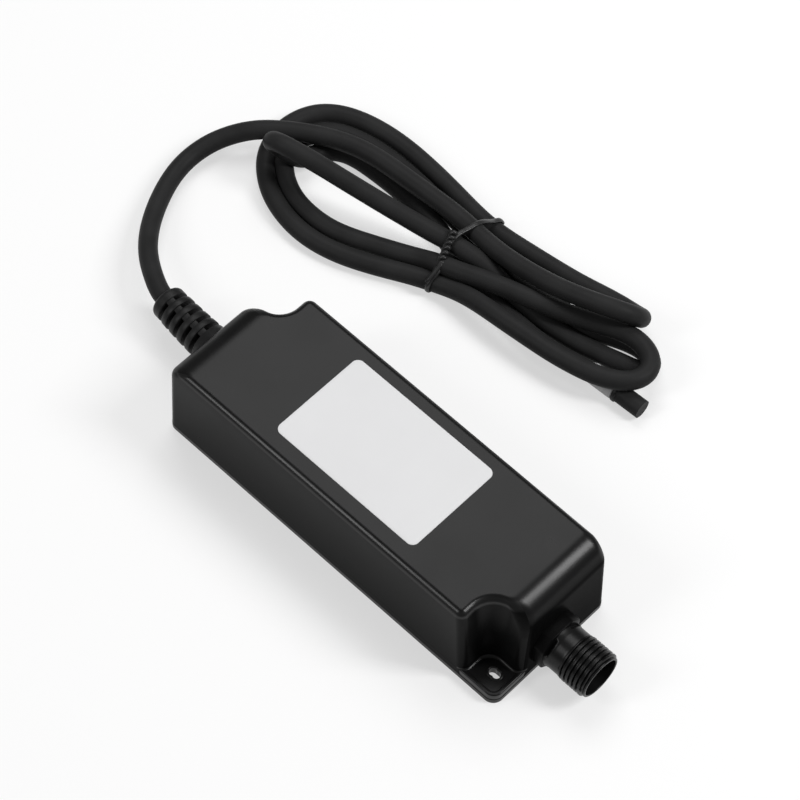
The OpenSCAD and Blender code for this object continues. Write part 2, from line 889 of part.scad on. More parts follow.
module transformer_core() {
    window_w = (core_l - 2 * core_leg - core_mid) / 2;
    color(ferrite) at_transformer() difference() {
        block(core_w, core_l, core_h);
        for (side = [-1, 1]) translate([0, side * (core_mid + window_w) / 2, core_leg])
            block(core_w + 2 * past, window_w, window_h);
    }
}

// Length across the core's sleeve: the coil sticks out on both sides along the board
sleeve_x = core_w + 2 * (bobbin_gap + bobbin_t);
coil_x = sleeve_x + 2 * coil_t;
coil_y = coil_inner + 2 * coil_t;

module transformer_bobbin() {
    color([0.12, 0.12, 0.13]) at_transformer() translate([0, 0, core_leg + bobbin_gap]) difference() {
        union() {
            block(sleeve_x, coil_inner, bobbin_h);
            block(coil_x + 2, coil_y, bobbin_t);
            translate([0, 0, bobbin_h - bobbin_t]) block(coil_x + 2, coil_y, bobbin_t);
        }
        translate([0, 0, -past]) block(core_w + 2 * bobbin_gap, core_mid + 2 * bobbin_gap, bobbin_h + 2 * past);
    }
}

module transformer_winding() {
    color([0.85, 0.7, 0.25]) at_transformer() translate([0, 0, core_leg + bobbin_gap + bobbin_t]) difference() {
        block(coil_x, coil_y, bobbin_h - 2 * bobbin_t);
        translate([0, 0, -past]) block(sleeve_x, coil_inner, bobbin_h);
    }
}

module y_capacitor() {
    color([0.2, 0.4, 0.7]) on_board(y_capacitor_at) upright_disc(y_capacitor_d, y_capacitor_t);
}

module output_capacitors() {
    color([0.16, 0.22, 0.3]) for (i = [0, 1]) on_board(output_capacitor_at + [i * output_capacitor_pitch, 0])
        can(output_capacitor_d, output_capacitor_h);
}

module controller_chip() {
    color(black) on_board(chip_at) block(chip_l, chip_w, chip_h);
}

module optocoupler() {
    color([0.85, 0.85, 0.82]) on_board(optocoupler_at) block(optocoupler_l, optocoupler_w, chip_h);
}

// A pair of insulated wires from x0 to x1, with bare ends that go down to the board at x
module wire_pair(x0, x1, x, spacing) {
    for (side = [-1, 1]) translate([0, side * spacing / 2, 0]) {
        translate([x0, 0, axis_z]) rotate([0, 90, 0]) cylinder(d = wire_d, h = x1 - x0);
        translate([x, 0, board_top]) cylinder(d = core_wire_d, h = axis_z - board_top);
    }
}

module input_leads() {
    cable_end = pad_t + relief_flange_t + inner_l - seat_x;
    place = input_pins_in - board_end;
    color([0.45, 0.25, 0.12]) wire_pair(cable_end, place + wire_past_pin, place, cable_d / 2);
}

module output_leads() {
    contact_end = seat_x - stub_l - contact_tail;
    place = board_end - output_pins_in;
    color([0.6, 0.1, 0.1]) wire_pair(place - wire_past_pin, contact_end, place, contact_pitch);
}

// Everything that the resin is poured round
module sealed_pieces() {
    at_socket() {
        translate([0, 0, -stub_l]) cylinder(d = stub_d, h = stub_l);
        translate([0, 0, -pad_t - nut_t]) cylinder(d = nut_af / cos(30), h = nut_t, $fn = 6);
    }
    at_relief() {
        relief_inside();
        cord_inside();
    }
    socket_contacts();
    circuit_board();
    fuse();
    varistor();
    thermistor();
    x_capacitor();
    y_capacitor();
    choke_core();
    choke_windings();
    bridge_rectifier();
    bulk_capacitor();
    switching_transistor();
    transistor_heatsink();
    transformer_core();
    transformer_bobbin();
    transformer_winding();
    output_diode();
    diode_heatsink();
    output_capacitors();
    controller_chip();
    optocoupler();
    input_leads();
    output_leads();
}

module potting_compound() {
    color([0.25, 0.25, 0.26]) difference() {
        intersection() {
            cavity();
            translate([-half_l, -half_w, resin_z]) cube([case_l, case_w, case_h]);
        }
        both_ends() wall_pad();
        sealed_pieces();
    }
}

housing_shell();
base_cover();
rating_label();
output_socket();
socket_seal();
lock_nut();
socket_insert();
socket_contacts();
strain_relief();
cord_inner();
cord_lead();
cord_hank();
cord_tail();
cord_end_band();
cord_end_ring();
twist_tie();
circuit_board();
fuse();
varistor();
thermistor();
x_capacitor();
y_capacitor();
choke_core();
choke_windings();
bridge_rectifier();
bulk_capacitor();
switching_transistor();
transistor_heatsink();
transformer_core();
transformer_bobbin();
transformer_winding();
output_diode();
diode_heatsink();
output_capacitors();
controller_chip();
optocoupler();
input_leads();
output_leads();
potting_compound();
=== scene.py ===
import math

import bmesh
import bpy
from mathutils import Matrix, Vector


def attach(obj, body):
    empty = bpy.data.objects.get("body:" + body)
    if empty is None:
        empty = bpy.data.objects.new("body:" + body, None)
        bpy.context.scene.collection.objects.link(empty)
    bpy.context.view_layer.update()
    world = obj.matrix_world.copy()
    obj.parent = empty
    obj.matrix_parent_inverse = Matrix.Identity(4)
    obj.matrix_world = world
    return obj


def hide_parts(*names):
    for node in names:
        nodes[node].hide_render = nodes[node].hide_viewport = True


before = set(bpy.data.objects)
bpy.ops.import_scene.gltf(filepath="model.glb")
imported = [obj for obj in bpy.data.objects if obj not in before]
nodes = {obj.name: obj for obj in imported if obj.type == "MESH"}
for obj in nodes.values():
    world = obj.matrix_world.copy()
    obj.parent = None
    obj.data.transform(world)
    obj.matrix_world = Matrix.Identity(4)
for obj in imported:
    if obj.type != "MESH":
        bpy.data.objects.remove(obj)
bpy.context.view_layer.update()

# Camera, at the photograph's viewing angle
camera_data = bpy.data.cameras.new("camera")
camera_data.lens = 145.35
camera_data.sensor_width = 36
camera_data.clip_end = 20
camera = bpy.data.objects.new("camera", camera_data)
camera.location = (0.35863, -0.38835, 0.94846)
camera.rotation_euler = [math.radians(a) for a in (31.1015, -1.1054, 44.1067)]
bpy.context.scene.collection.objects.link(camera)
bpy.context.scene.camera = camera
bpy.context.scene.view_settings.view_transform = "Standard"


# Sizes of the case in millimetres. They are as in the part's source, apart from END_LIP_TOP_R, EAR_BEVEL,
# SLOT_W and SLOT_L, which are a little smaller here. FOOT_R, RIM_W and RIM_DEPTH are only here.
CASE_L, CASE_W, CASE_H = 152.4, 54, 38.7
SIDE_LEAN, END_LEAN, CORNER_R = 0.7, 1.2, 3.4
SIDE_EDGE_R, END_EDGE_W, SOCKET_EDGE_H, RELIEF_EDGE_H = 2.7, 10, 10, 7
SOCKET_SCALLOP_L, RELIEF_SCALLOP_L, SCALLOP_W = 13.8, 12.2, 12.1
SCALLOP_LEAN, SCALLOP_R, SCALLOP_TOP_R = 3, 5.2, 8.5
SIDE_LIP_R, END_LIP_R, END_LIP_TOP_R, LIP_WIDENS_Z = 3, 3.4, 5.2, 26
EAR_T, EAR_R, EAR_BEVEL, FOOT_R = 3, 4, 0.5, 0.7
RIM_W, RIM_DEPTH = 1.3, 0.3
SLOT_W, SLOT_L, SLOT_FROM_END, SLOT_FROM_SIDE = 2.8, 4.3, 6.8, 7.5
MIN_R, LIP_WIDENS_OVER, ARC_STEPS = 0.6, 8, 18
COVER_T = 2
LABEL_L, LABEL_W, LABEL_R, LABEL_T = 62.8, 38.9, 2.6, 0.2
LABEL_X, LABEL_Y = -0.8, 0.6
AXIS_Z = 13
HALF_L, HALF_W = CASE_L / 2, CASE_W / 2
EAR_TOP = COVER_T + EAR_T
SEAT_X = HALF_L - END_LEAN * (AXIS_Z + 9) / CASE_H - 0.05
CABLE_D = 7
MM = 0.001


# Building blocks

def mesh_piece(name, points, faces, scale=MM, smooth=True):
    """An object from points in millimetres, with its normals outwards."""
    mesh = bpy.data.meshes.new(name)
    mesh.from_pydata([tuple(scale * c for c in p) for p in points], [], faces)
    mesh.validate()
    obj = bpy.data.objects.new(name, mesh)
    bpy.context.scene.collection.objects.link(obj)
    bm = bmesh.new()
    bm.from_mesh(mesh)
    bmesh.ops.recalc_face_normals(bm, faces=bm.faces)
    bm.to_mesh(mesh)
    bm.free()
    if smooth:
        mesh.polygons.foreach_set("use_smooth", [True] * len(mesh.polygons))
    return obj


def sharpen(obj, degrees):
    """Keeps edges sharper than the given angle as hard edges."""
    mesh = obj.data
    bm = bmesh.new()
    bm.from_mesh(mesh)
    limit = math.radians(degrees)
    for edge in bm.edges:
        edge.smooth = len(edge.link_faces) == 2 and edge.calc_face_angle(0) < limit
    bm.to_mesh(mesh)
    bm.free()
    return obj


def stack(loops, cap_low=False, cap_high=False):
    """Points and faces of a skin through loops that have the same number of points."""
    n = len(loops[0])
    points = [p for loop in loops for p in loop]
    faces = []
    for j in range(len(loops) - 1):
        for i in range(n):
            a, b = j * n + i, j * n + (i + 1) % n
            faces.append((a, b, b + n, a + n))
    for wanted, j in ((cap_low, 0), (cap_high, len(loops) - 1)):
        if wanted:
            ring = loops[j]
            centre = [sum(p[k] for p in ring) / n for k in range(3)]
            points.append(centre)
            faces += [(j * n + i, j * n + (i + 1) % n, len(points) - 1) for i in range(n)]
    return points, faces


def join(name, *pieces):
    """Several pieces as one object."""
    mesh = bpy.data.meshes.new(name)
    bm = bmesh.new()
    for piece in pieces:
        bm.from_mesh(piece.data)
        old = piece.data
        bpy.data.objects.remove(piece)
        bpy.data.meshes.remove(old)
    bm.to_mesh(mesh)
    bm.free()
    obj = bpy.data.objects.new(name, mesh)
    bpy.context.scene.collection.objects.link(obj)
    return obj


def spline(points, steps):
    """A cubic B-spline that starts at the first point and ends at the last."""
    p = [Vector(q) for q in points]
    p = [2 * p[0] - p[1]] + p + [2 * p[-1] - p[-2]]
    line = []
    for i in range(len(p) - 3):
        for k in range(steps):
            t = k / steps
            line.append(((1 - t) ** 3 * p[i] + (3 * t ** 3 - 6 * t * t + 4) * p[i + 1]
                         + (-3 * t ** 3 + 3 * t * t + 3 * t + 1) * p[i + 2] + t ** 3 * p[i + 3]) / 6)
    line.append((p[-3] + 4 * p[-2] + p[-1]) / 6)
    return line


def tube(name, line, radius, sides, flat=1.0):
    """A tube along a line, closed at both ends. radius is a number, or a function of the share of the
    length."""
    n = len(line)
    up = Vector((0, 0, 1))
    loops = []
    for i, centre in enumerate(line):
        t = (line[min(i + 1, n - 1)] - line[max(i - 1, 0)]).normalized()
        up = (up - up.dot(t) * t).normalized()
        side = t.cross(up)
        r = radius(i / (n - 1)) if callable(radius) else radius
        loop = []
        for k in range(sides):
            a = 2 * math.pi * k / sides
            loop.append(centre + r * (math.cos(a) * side + flat * math.sin(a) * up))
        loops.append(loop)
    points, faces = stack(loops, cap_low=True, cap_high=True)
    return mesh_piece(name, points, faces)


def lathe(name, place, rows, sides):
    """A turned piece. Each row is (distance along the axis, radius), and the radius may be a function of
    the angle."""
    loops = []
    for s, r in rows:
        loop = []
        for k in range(sides):
            a = 2 * math.pi * k / sides
            loop.append(place(s, r(a) if callable(r) else r, a))
        loops.append(loop)
    points, faces = stack(loops)
    return mesh_piece(name, points, faces)


# Materials

CLOUD_LOW, CLOUD_HIGH = 0.3, 0.7
TOP_IOR = 1.27


def material(name, build):
    mat = bpy.data.materials.new(name)
    mat.use_nodes = True
    tree = mat.node_tree
    shader = tree.nodes["Principled BSDF"]
    build(tree, shader)
    return mat


def noise(tree, scale, detail=3.0):
    coords = tree.nodes.new("ShaderNodeTexCoord")
    tex = tree.nodes.new("ShaderNodeTexNoise")
    tex.inputs["Scale"].default_value = scale
    tex.inputs["Detail"].default_value = detail
    tex.inputs["Roughness"].default_value = 0.55
    tree.links.new(coords.outputs["Object"], tex.inputs["Vector"])
    return tex.outputs["Fac"]


def ramp(tree, fac, low, high):
    """A colour that runs from low to high with the clouds."""
    node = tree.nodes.new("ShaderNodeValToRGB")
    element = node.color_ramp.elements
    element[0].position, element[0].color = CLOUD_LOW, low
    element[1].position, element[1].color = CLOUD_HIGH, high
    tree.links.new(fac, node.inputs["Fac"])
    return node.outputs["Color"]


def spread(tree, fac, low, high):
    """A number that runs from low to high with the clouds."""
    node = tree.nodes.new("ShaderNodeMapRange")
    node.inputs["From Min"].default_value = CLOUD_LOW
    node.inputs["From Max"].default_value = CLOUD_HIGH
    node.inputs["To Min"].default_value = low
    node.inputs["To Max"].default_value = high
    tree.links.new(fac, node.inputs["Value"])
    return node.outputs["Result"]


def bump(tree, shader, fac, strength, distance):
    node = tree.nodes.new("ShaderNodeBump")
    node.inputs["Strength"].default_value = strength
    node.inputs["Distance"].default_value = distance
    tree.links.new(fac, node.inputs["Height"])
    tree.links.new(node.outputs["Normal"], shader.inputs["Normal"])


def grey(v):
    return (v, v, v * 1.01, 1)


def finish_of(low, high, rough_low, rough_high, cloud, grain=2600, grain_depth=0.00002, strength=0.25,
              metallic=0.0, ior=1.5):
    """A procedural finish: clouded colour, clouded roughness and a fine grain, its depth in metres."""
    def build(tree, shader):
        broad = noise(tree, cloud)
        fine = noise(tree, grain, detail=2.0)
        tree.links.new(ramp(tree, broad, low, high), shader.inputs["Base Color"])
        tree.links.new(spread(tree, broad, rough_low, rough_high), shader.inputs["Roughness"])
        shader.inputs["Metallic"].default_value = metallic
        shader.inputs["IOR"].default_value = ior
        bump(tree, shader, fine, strength, grain_depth)
    return build


def painted_reflection_by_height(stops, **finish):
    """The case's reflection, painted by height: a low IOR on the walls is painted shade, so they mirror
    less of the bright floor, and a high IOR on the rounded edges is a painted highlight. Stops are (height
    in millimetres, IOR)."""
    inner = finish_of(ior=TOP_IOR, **finish)

    def build(tree, shader):
        inner(tree, shader)
        coords = tree.nodes.new("ShaderNodeTexCoord")
        parts = tree.nodes.new("ShaderNodeSeparateXYZ")
        tree.links.new(coords.outputs["Object"], parts.inputs["Vector"])
        total = None
        for (z0, n0), (z1, n1) in zip(stops, stops[1:]):
            share = tree.nodes.new("ShaderNodeMapRange")
            share.inputs["From Min"].default_value = z0 * MM
            share.inputs["From Max"].default_value = z1 * MM
            share.inputs["To Min"].default_value = 0 if total else n0
            share.inputs["To Max"].default_value = n1 - n0 if total else n1
            tree.links.new(parts.outputs["Z"], share.inputs["Value"])
            if total:
                both = tree.nodes.new("ShaderNodeMath")
                tree.links.new(total, both.inputs[0])
                tree.links.new(share.outputs["Result"], both.inputs[1])
                total = both.outputs[0]
            else:
                total = share.outputs["Result"]
        tree.links.new(total, shader.inputs["IOR"])
    return build


def plain_finish(name, colour, rough, metallic=0.0):
    """A material with one colour, 12% darker or lighter with the clouds."""
    low = tuple(c * 0.88 for c in colour) + (1,)
    high = tuple(min(1, c * 1.12) for c in colour) + (1,)
    return material(name, finish_of(low, high, rough - 0.05, rough + 0.05, cloud=220, metallic=metallic))


case_look = dict(low=grey(0.0038), high=grey(0.0050), rough_low=0.27, rough_high=0.32, cloud=45, grain=3200,
                 grain_depth=0.000012, strength=0.2)
# The IOR stops below paint shade and highlight: low on the walls and end walls as painted shade, so they
# mirror less of the bright floor, and high on the roundings of the long edges and the socket end, and on
# the ears, as painted highlight.
CASE_STOPS = [(6, 1.08), (32, 1.12), (36, 1.12), (36.9, 1.44), (38.2, 1.44), (38.6, TOP_IOR)]
SOCKET_END_STOPS = [(10, 1.03), (31, 1.045), (34.5, 1.33), (38, 1.33), (38.6, TOP_IOR)]
RELIEF_END_STOPS = [(33, 1.08), (37.2, TOP_IOR), (38.6, TOP_IOR)]
case_mat = material("case_plastic", painted_reflection_by_height(CASE_STOPS, **case_look))
case_end_mat = material("case_end_plastic", painted_reflection_by_height(SOCKET_END_STOPS, **case_look))
case_far_mat = material("case_far_plastic", painted_reflection_by_height(RELIEF_END_STOPS, **case_look))
ear_mat = material("ear_plastic", finish_of(ior=1.35, **case_look))
cover_mat = material("cover_plastic", finish_of(grey(0.004), grey(0.006), 0.32, 0.38, cloud=60,
                                                grain=3000, grain_depth=0.000015, strength=0.25, ior=1.3))
cable_mat = material("cable_rubber", finish_of(grey(0.021), grey(0.027), 0.42, 0.50, cloud=90,
                                               grain=1800, grain_depth=0.00003, strength=0.3, ior=1.13))
relief_mat = material("relief_rubber", finish_of(grey(0.008), grey(0.011), 0.40, 0.48, cloud=120,
                                                 grain=2200, grain_depth=0.00002, strength=0.3, ior=1.3))
flange_mat = material("flange_plastic", finish_of(grey(0.003), grey(0.0045), 0.30, 0.36, cloud=120,
                                                  grain=2600, grain_depth=0.00001, strength=0.2, ior=1.12))
socket_mat = material("socket_plastic", finish_of(grey(0.004), grey(0.006), 0.28, 0.34, cloud=120,
                                                  grain=2600, grain_depth=0.00001, strength=0.2, ior=1.3))
tie_mat = material("tie_plastic", finish_of(grey(0.015), grey(0.024), 0.32, 0.42, cloud=400,
                                            grain=2600, grain_depth=0.00002, strength=0.3, ior=1.4))
band_mat = material("band_tape", finish_of(grey(0.38), grey(0.45), 0.45, 0.55, cloud=260,
                                           grain=1800, grain_depth=0.00003, strength=0.3))


# The mains lead, one length of cable from the strain relief to its cut end, in millimetres

LEAD = [(-106.6, 1.9, 13), (-109.6, 2.3, 13), (-114, 4.1, 12.6), (-121, 8, 11.2), (-128, 13, 9.5),
        (-135.5, 21, 7), (-142, 31, 5), (-147, 42, 4), (-149, 52, 4), (-147.5, 62, 5.5), (-143, 69.5, 8),
        (-138, 75, 10), (-133, 79.5, 10.7)]
OVER_THE_TOP = [(-126.5, 84.5, 11), (-119, 89.5, 11), (-111.5, 93.5, 10.8), (-103.5, 96.2, 10.6),
                (-94.5, 97.5, 10.6), (-85, 98, 10.6), (-75, 98.6, 10.6), (-65, 99.2, 10.6),
                (-56, 99, 10.6), (-46, 97.9, 11.3), (-36.5, 97.3, 12.5), (-27, 97.5, 14),
                (-17.5, 98, 16), (-8.5, 99, 18.2), (0.5, 101, 20), (7.5, 103.5, 20.6), (13, 107, 18.8),
                (15, 110.7, 14.5), (13.8, 113.8, 9.3), (9.5, 115.6, 5)]
OUTER_LOOP = [(3.5, 115.8, 3.5), (-3.5, 114.5, 3.5), (-13, 112.2, 3.5), (-23, 110.6, 3.5),
              (-34, 109.2, 3.5), (-44.5, 107.8, 3.5), (-53, 107.4, 3.5), (-61.5, 108, 3.5),
              (-70, 109.2, 3.5), (-83, 110.6, 3.5), (-95.5, 111.3, 3.5), (-107, 110.6, 3.5),
              (-117, 108.4, 3.5), (-125, 104.8, 3.5), (-131, 99.2, 3.5), (-134.1, 91, 3.5),
              (-134, 83, 3.5), (-132, 76.2, 3.5), (-128.2, 70.7, 3.5), (-122, 65.6, 3.5),
              (-114.8, 61.8, 3.5), (-106, 59.5, 3.5), (-97.5, 58.8, 3.5), (-89, 59.8, 3.5),
              (-80.5, 62.2, 3.5), (-72, 65.9, 3.5), (-64, 70, 3.5), (-56.5, 74, 3.5), (-48.5, 77, 4),
              (-40.5, 78.7, 6.2), (-31.5, 79.1, 8.4), (-20.5, 79, 10.2), (-9.5, 79.8, 10.6),
              (1.5, 80.9, 10.6), (10.5, 82.5, 10.8), (17.5, 84.3, 10.9), (23.5, 86.9, 11),
              (28.6, 91, 10.9), (30.8, 96.3, 10.8), (29.3, 101.3, 10.7)]
RIGHT_RETURN = [(24.8, 104.6, 10.4), (19, 105.8, 10.1), (13.3, 104.8, 10.2), (7.8, 102.2, 10.5),
                (1.5, 99.2, 10.6), (-5, 96.4, 10.6), (-11.5, 94.2, 10.6), (-18, 92, 10.6),
                (-25, 89.8, 10.6), (-32, 87.4, 10.6), (-38.5, 85, 10.6), (-44.5, 82.7, 10),
                (-50.5, 81.7, 8.5), (-56, 80.9, 6.2), (-61.5, 79.4, 4.2), (-68, 76.7, 3.5)]
INNER_LOOP = [(-76, 73, 3.5), (-84.3, 69.3, 3.5), (-92, 66.9, 3.5), (-100, 66.2, 3.5),
              (-108.2, 66.9, 3.5), (-115.3, 69.4, 3.5), (-121.4, 73.4, 3.5), (-126.1, 78.4, 3.5),
              (-127.4, 84.8, 3.5), (-125.2, 92.2, 3.5), (-120.5, 98.2, 3.5), (-112.9, 101.4, 3.5),
              (-103.7, 103, 3.5), (-94, 103.5, 3.5), (-82, 103.2, 3.5), (-68.5, 101.8, 3.5),
              (-55.5, 100.4, 3.5), (-44, 99.8, 3.5), (-34, 99.8, 3.5), (-24, 99.8, 3.5),
              (-14, 100.2, 3.5), (-5, 99.3, 3.5), (3, 100.8, 3.5)]
SMALL_LOOP = [(10, 104.4, 3.5), (16.5, 106.8, 3.5), (22.5, 107.6, 3.5), (27.4, 105.2, 3.5),
              (26.6, 100.2, 3.5), (19.5, 98.4, 3.5), (12, 96, 3.5), (2, 93.4, 3.5), (-8, 91.9, 3.5),
              (-17, 91.5, 3.5), (-25, 91.7, 3.6), (-32.5, 92.5, 5), (-40, 92.3, 7.9), (-47, 90.8, 9.8),
              (-54, 89.4, 10.8)]
TOP_LOOP = [(-61, 87.5, 11.3), (-70, 85.6, 12), (-79.5, 82.9, 14), (-88, 80.2, 16.5), (-96, 77.6, 19),
            (-104.5, 74.9, 21.7), (-112.2, 72, 24.4), (-118, 70.1, 25.6), (-123.4, 70.1, 23),
            (-125.5, 71.9, 17.7), (-124.2, 74.8, 12.6), (-120.2, 76.8, 9.6), (-118, 80.4, 6.2),
            (-118.2, 85.6, 4), (-115.8, 91, 3.5), (-110, 94.8, 3.5), (-102, 95.9, 3.5), (-91, 96.3, 3.5),
            (-80, 96, 3.5), (-71, 95, 3.5), (-63, 93.6, 3.5), (-56.5, 91.7, 3.5), (-50.5, 89.5, 3.5),
            (-44, 86.9, 3.5), (-36.5, 84.9, 3.5), (-28.5, 84.9, 3.5), (-19.5, 84.7, 3.5),
            (-10.5, 84.4, 3.5), (-2, 84.7, 3.5), (5, 86.3, 3.5), (12.5, 87.9, 3.7), (20, 88.5, 3.9),
            (28.1, 88.7, 3.95), (36.5, 89.1, 3.95)]
route = LEAD + OVER_THE_TOP + OUTER_LOOP + RIGHT_RETURN + INNER_LOOP + SMALL_LOOP + TOP_LOOP
cord_line = spline(route, steps=6)

cord = sharpen(tube("mains_lead", cord_line, CABLE_D / 2, sides=32), degrees=60)
cord.data.materials.append(cable_mat)

# The grey band and the black ring near the cut end, placed by their distance from it

BAND_FROM, BAND_TO, RING_TO = 22.8, 11.5, 9.9
BAND_T, RING_T = 0.28, 0.42
end = cord_line[-1]
along = (cord_line[-1] - cord_line[-8]).normalized()


def end_piece(name, from_end, to_end, profile, steps=24):
    line = []
    for k in range(steps + 1):
        s = from_end + (to_end - from_end) * k / steps
        line.append(end - s * along)
    return tube(name, line, profile, sides=48)


def band_profile(t):
    return CABLE_D / 2 + BAND_T * min(1, 12 * min(t, 1 - t) + 0.2)


def ring_profile(t):
    return CABLE_D / 2 + RING_T * math.sqrt(max(0, 1 - (2 * t - 1) ** 4)) + 0.02


band = end_piece("end_band", BAND_FROM, BAND_TO, band_profile)
band.data.materials.append(band_mat)
ring = end_piece("end_ring", BAND_TO, RING_TO, ring_profile)
ring.data.materials.append(relief_mat)


# Case

def unit(a):
    return math.cos(math.radians(a)), math.sin(math.radians(a))


def arc(x, y, r, a, b, steps):
    return [(x + r * unit(a + (b - a) * i / steps)[0], y + r * unit(a + (b - a) * i / steps)[1])
            for i in range(steps + 1)]


def edge_inset(z, top, w, h):
    """How far an elliptical rounding, w wide and h high, steps in from the wall at height z."""
    return w - w * math.sqrt(max(0, 1 - ((z - top + h) / h) ** 2)) if z > top - h else 0


def half_outline(z, scallop_l, end_h):
    """One side with its scallop and one end, at height z: side lip, scallop, end lip and plain corner."""
    share = z / CASE_H
    e = edge_inset(z, CASE_H, SIDE_EDGE_R, SIDE_EDGE_R)
    e_end = edge_inset(z, CASE_H, END_EDGE_W, end_h)
    widen = min(max((z - LIP_WIDENS_Z) / LIP_WIDENS_OVER, 0), 1)
    side = e + SIDE_LEAN * share
    end_in = e_end + END_LEAN * share
    scallop = e + SCALLOP_LEAN * share
    foot = min(max((EAR_TOP + FOOT_R - z) / FOOT_R, 0), 1)
    scallop -= FOOT_R * (1 - math.sqrt(1 - foot * foot))
    corner_r = max(CORNER_R - e, MIN_R)
    side_r = max(SIDE_LIP_R - e, MIN_R)
    inner_r = SCALLOP_R + (SCALLOP_TOP_R - SCALLOP_R) * share + e
    end_r = max(END_LIP_R + (END_LIP_TOP_R - END_LIP_R) * widen - e, MIN_R)
    x0, x1 = HALF_L - scallop_l - scallop, HALF_L - end_in
    y0, y1 = side - HALF_W, SCALLOP_W - HALF_W + scallop
    both = inner_r + end_r
    turn = math.degrees(math.acos(1 - (x1 - x0) / both)) if both > x1 - x0 else 90
    return (arc(x0 - side_r, y0 + side_r, side_r, 270, 360, ARC_STEPS)
            + arc(x0 + inner_r, y1 - inner_r, inner_r, 180, 180 - turn, ARC_STEPS)
            + arc(x1 - end_r, y1 - inner_r + both * unit(turn)[1], end_r, 360 - turn, 360, ARC_STEPS)
            + arc(x1 - corner_r, -y0 - corner_r, corner_r, 0, 90, ARC_STEPS))


def case_outline(z):
    return (half_outline(z, SOCKET_SCALLOP_L, SOCKET_EDGE_H)
            + [(-x, -y) for x, y in half_outline(z, RELIEF_SCALLOP_L, RELIEF_EDGE_H)])


WALL_Z, ROUNDING_STEPS = 24, 48
heights = [COVER_T + 0.02, 4, EAR_TOP - 0.4] + [EAR_TOP + FOOT_R * k / 6 for k in range(7)]
heights += [7, 9, 12, 15, 18, 21, WALL_Z]
heights += [WALL_Z + (CASE_H - SOCKET_EDGE_H - WALL_Z) * k / 6 for k in range(1, 6)]
heights += [CASE_H - SOCKET_EDGE_H * (1 - math.sin(math.radians(90 * k / ROUNDING_STEPS)))
            for k in range(ROUNDING_STEPS + 1)]
loops = [[(x, y, z) for x, y in case_outline(z)] for z in heights]
points, faces = stack(loops, cap_low=True, cap_high=True)
case_body = mesh_piece("case_body", points, faces)


SLOT_RIM_OUT, SLOT_RIM_W, SLOT_RIM_H, SLOT_RIM_DROP = 0.9, 0.76, 0.2, 0.15
EAR_POINTS, TINY, FAR = 96, 1e-9, 1e9


def ear_piece(scallop_l, end):
    """The moulded upper half of an ear, with its slot. end is 1 at the socket and -1 at the strain
    relief."""
    inset = END_LEAN * EAR_TOP / CASE_H
    x0 = HALF_L - scallop_l - SIDE_LIP_R
    y1 = SCALLOP_W - HALF_W + END_LIP_R
    sx, sy = HALF_L - SLOT_FROM_END, SLOT_FROM_SIDE - HALF_W

    def edge(inset_by, z):
        x1, y0, r = HALF_L - inset_by, inset_by - HALF_W, max(EAR_R - inset_by, 0.3)
        loop = []
        for k in range(EAR_POINTS):
            a = 2 * math.pi * k / EAR_POINTS
            dx, dy = math.cos(a), math.sin(a)
            to_x, to_y = (x1 if dx > 0 else x0) - sx, (y1 if dy > 0 else y0) - sy
            t = min(to_x / dx if abs(dx) > TINY else FAR, to_y / dy if abs(dy) > TINY else FAR)
            px, py = sx + t * dx, sy + t * dy
            cx, cy = x1 - r, y0 + r
            if px > cx and py < cy:
                b = dx * (cx - sx) + dy * (cy - sy)
                c = (cx - sx) ** 2 + (cy - sy) ** 2 - r * r
                t = b + math.sqrt(max(0, b * b - c))
                px, py = sx + t * dx, sy + t * dy
            loop.append((px, py, z))
        return loop

    def slot(grow, z):
        loop = []
        reach = (SLOT_L - SLOT_W) / 2
        r = SLOT_W / 2 + grow
        for k in range(EAR_POINTS):
            a = 2 * math.pi * k / EAR_POINTS
            dx, dy = math.cos(a), math.sin(a)
            c = reach if dx >= 0 else -reach
            b = c * dx
            t = b + math.sqrt(max(0, b * b - c * c + r * r))
            if abs(dy) > TINY and abs(r / dy * dx) < reach:
                t = min(t, r / abs(dy))
            loop.append((sx + t * dx, sy + t * dy, z))
        return loop

    rows = [edge(inset, COVER_T + 0.02), edge(inset, EAR_TOP - EAR_BEVEL)]
    for k in range(1, 7):
        a = math.radians(90 * k / 6)
        rows.append(edge(inset + EAR_BEVEL * (1 - math.cos(a)), EAR_TOP - EAR_BEVEL * (1 - math.sin(a))))
    floor_z = EAR_TOP - RIM_DEPTH
    for k in range(5):
        a = math.radians(90 * k / 4)
        rows.append(edge(inset + RIM_W + RIM_DEPTH * math.sin(a), EAR_TOP - RIM_DEPTH * (1 - math.cos(a))))
    rows.append(slot(SLOT_RIM_OUT, floor_z))
    for k in range(1, 7):
        a = math.radians(180 * k / 6)
        rows.append(slot(SLOT_RIM_OUT - SLOT_RIM_W / 2 * (1 - math.cos(a)),
                         floor_z + SLOT_RIM_H * math.sin(a)))
    rows.append(slot(0.0, floor_z - SLOT_RIM_DROP))
    rows.append(slot(0.0, COVER_T - 0.01))
    if end < 0:
        rows = [[(-x, -y, z) for x, y, z in row] for row in rows]
    points, faces = stack(rows)
    return mesh_piece("ear", points, faces)
